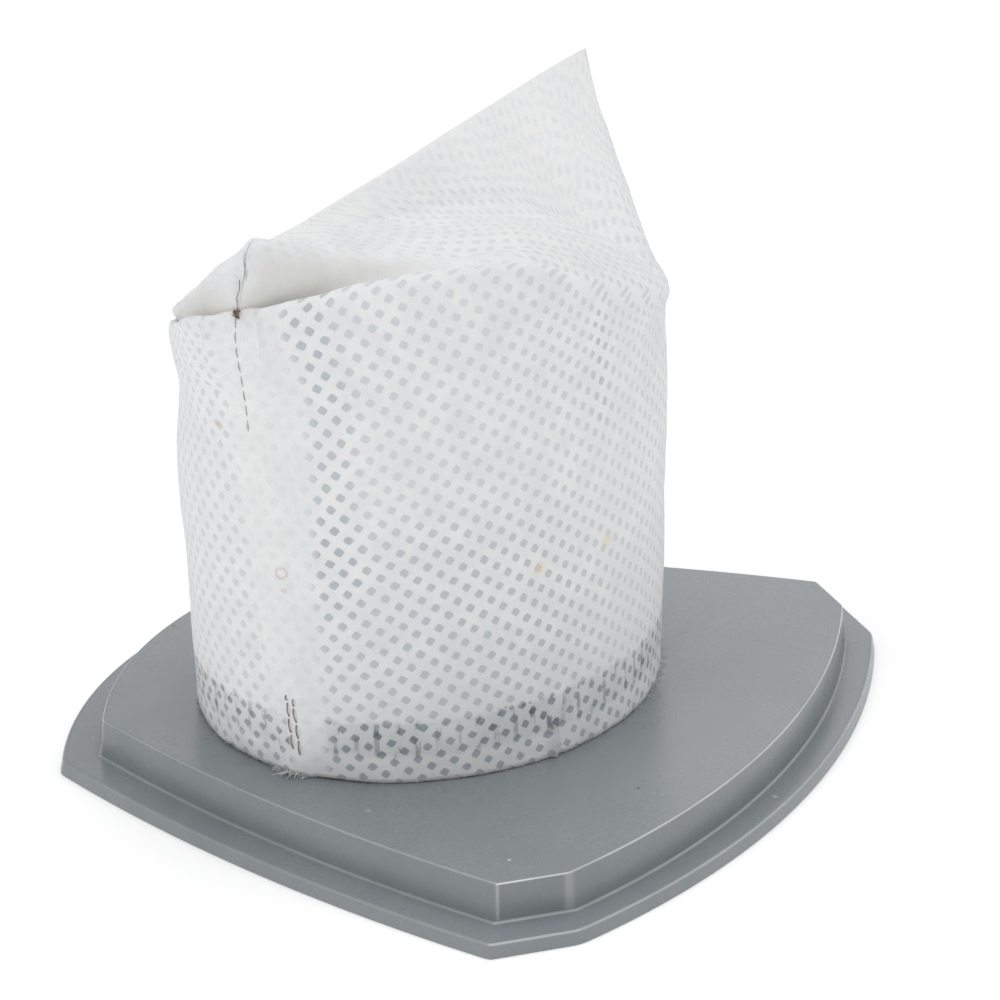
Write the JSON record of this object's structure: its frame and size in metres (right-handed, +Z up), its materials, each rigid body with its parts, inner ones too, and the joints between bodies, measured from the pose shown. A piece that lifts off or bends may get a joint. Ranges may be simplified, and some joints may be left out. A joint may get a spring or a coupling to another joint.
{
  "type": "stick vacuum filter",
  "caption": "Stick vacuum filter: stepped grey plate with cut corners and a sewn white cloth bag glued round a short oval collar.",
  "frame": {"origin": "middle of the rim's length and width, on the plane that the rim stands on", "axes": "+Z up through the bag, +X to the plate's curved nose with the cut corners, +Y along the bag's top seam"},
  "size_m": [0.1164, 0.1308, 0.0948],
  "materials": {
    "plate_plastic": "satin mid grey moulded plastic",
    "glue": "dark set glue",
    "bag_cloth": "white point-bonded non-woven cloth"
  },
  "bodies": {
    "root": {"filter_plate": "plate_plastic", "glue_band": "glue", "filter_bag": "bag_cloth"}
  },
  "joints": []
}
